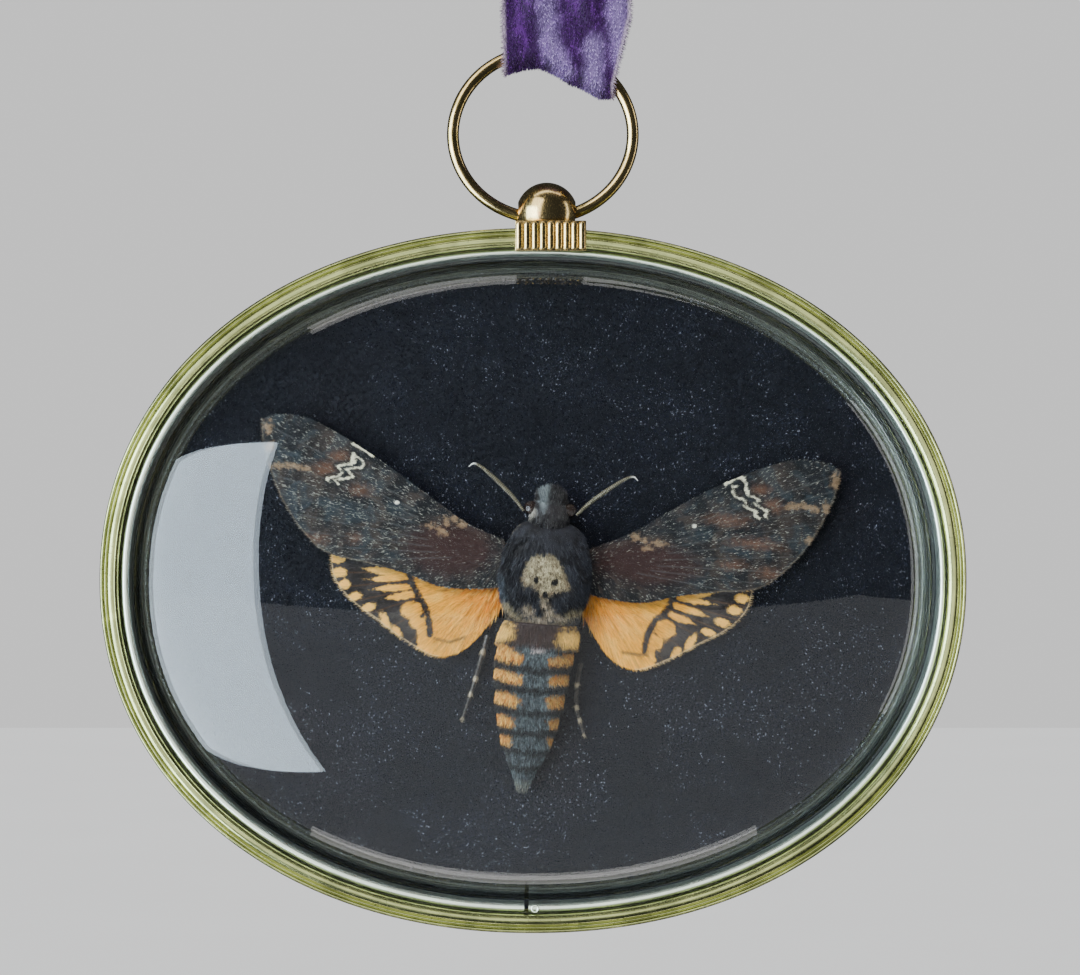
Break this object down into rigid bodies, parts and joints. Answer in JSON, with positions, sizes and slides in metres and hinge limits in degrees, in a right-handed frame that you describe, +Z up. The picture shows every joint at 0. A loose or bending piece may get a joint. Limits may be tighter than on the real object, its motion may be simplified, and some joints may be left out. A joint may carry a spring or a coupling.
{
  "type": "framed hawk moth specimen",
  "caption": "Hawk moth with a skull-like mark, set on dark velvet under domed glass in an oval brass frame that hangs by a ring from a velvet ribbon.",
  "frame": {"origin": "inner top of the ribbon's loop, where the frame hangs on a hook or nail", "axes": "+Z up, -Y out through the domed glass towards the viewer, +Y towards the wall, +X to the viewer's right"},
  "size_m": [0.15, 0.0265, 0.1812],
  "materials": {
    "purple_velvet": "matte",
    "brass": "polished",
    "bright_brass": "polished",
    "glass": "gloss",
    "dark_velvet": "matte",
    "board": "matte",
    "dark_fur": "matte",
    "banded_fur": "matte",
    "brown_scales": "matte",
    "yellow_scales": "matte",
    "horn": "satin"
  },
  "bodies": {
    "hanger": {"ribbon": "purple_velvet", "ring": "brass"},
    "frame": {"hanger_ball": "brass", "hanger_collar": "brass", "rim": "brass", "slip_ring": "bright_brass", "glass_dome": "glass", "velvet_pad": "dark_velvet", "back_board": "board", "thorax": "dark_fur", "head": "dark_fur", "abdomen": "banded_fur", "forewing_left": "brown_scales", "forewing_right": "brown_scales", "hindwing_left": "yellow_scales", "hindwing_right": "yellow_scales", "antenna_left": "horn", "antenna_right": "horn", "hind_leg_left": "dark_fur", "hind_leg_right": "dark_fur"}
  },
  "joints": [
    {"name": "ring_swivel", "type": "hinge", "parent": "hanger", "child": "frame", "pos_m": [-0.0034, 0, -0.05532], "axis": [1, 0, 0], "range_deg": [-100, 100]}
  ]
}
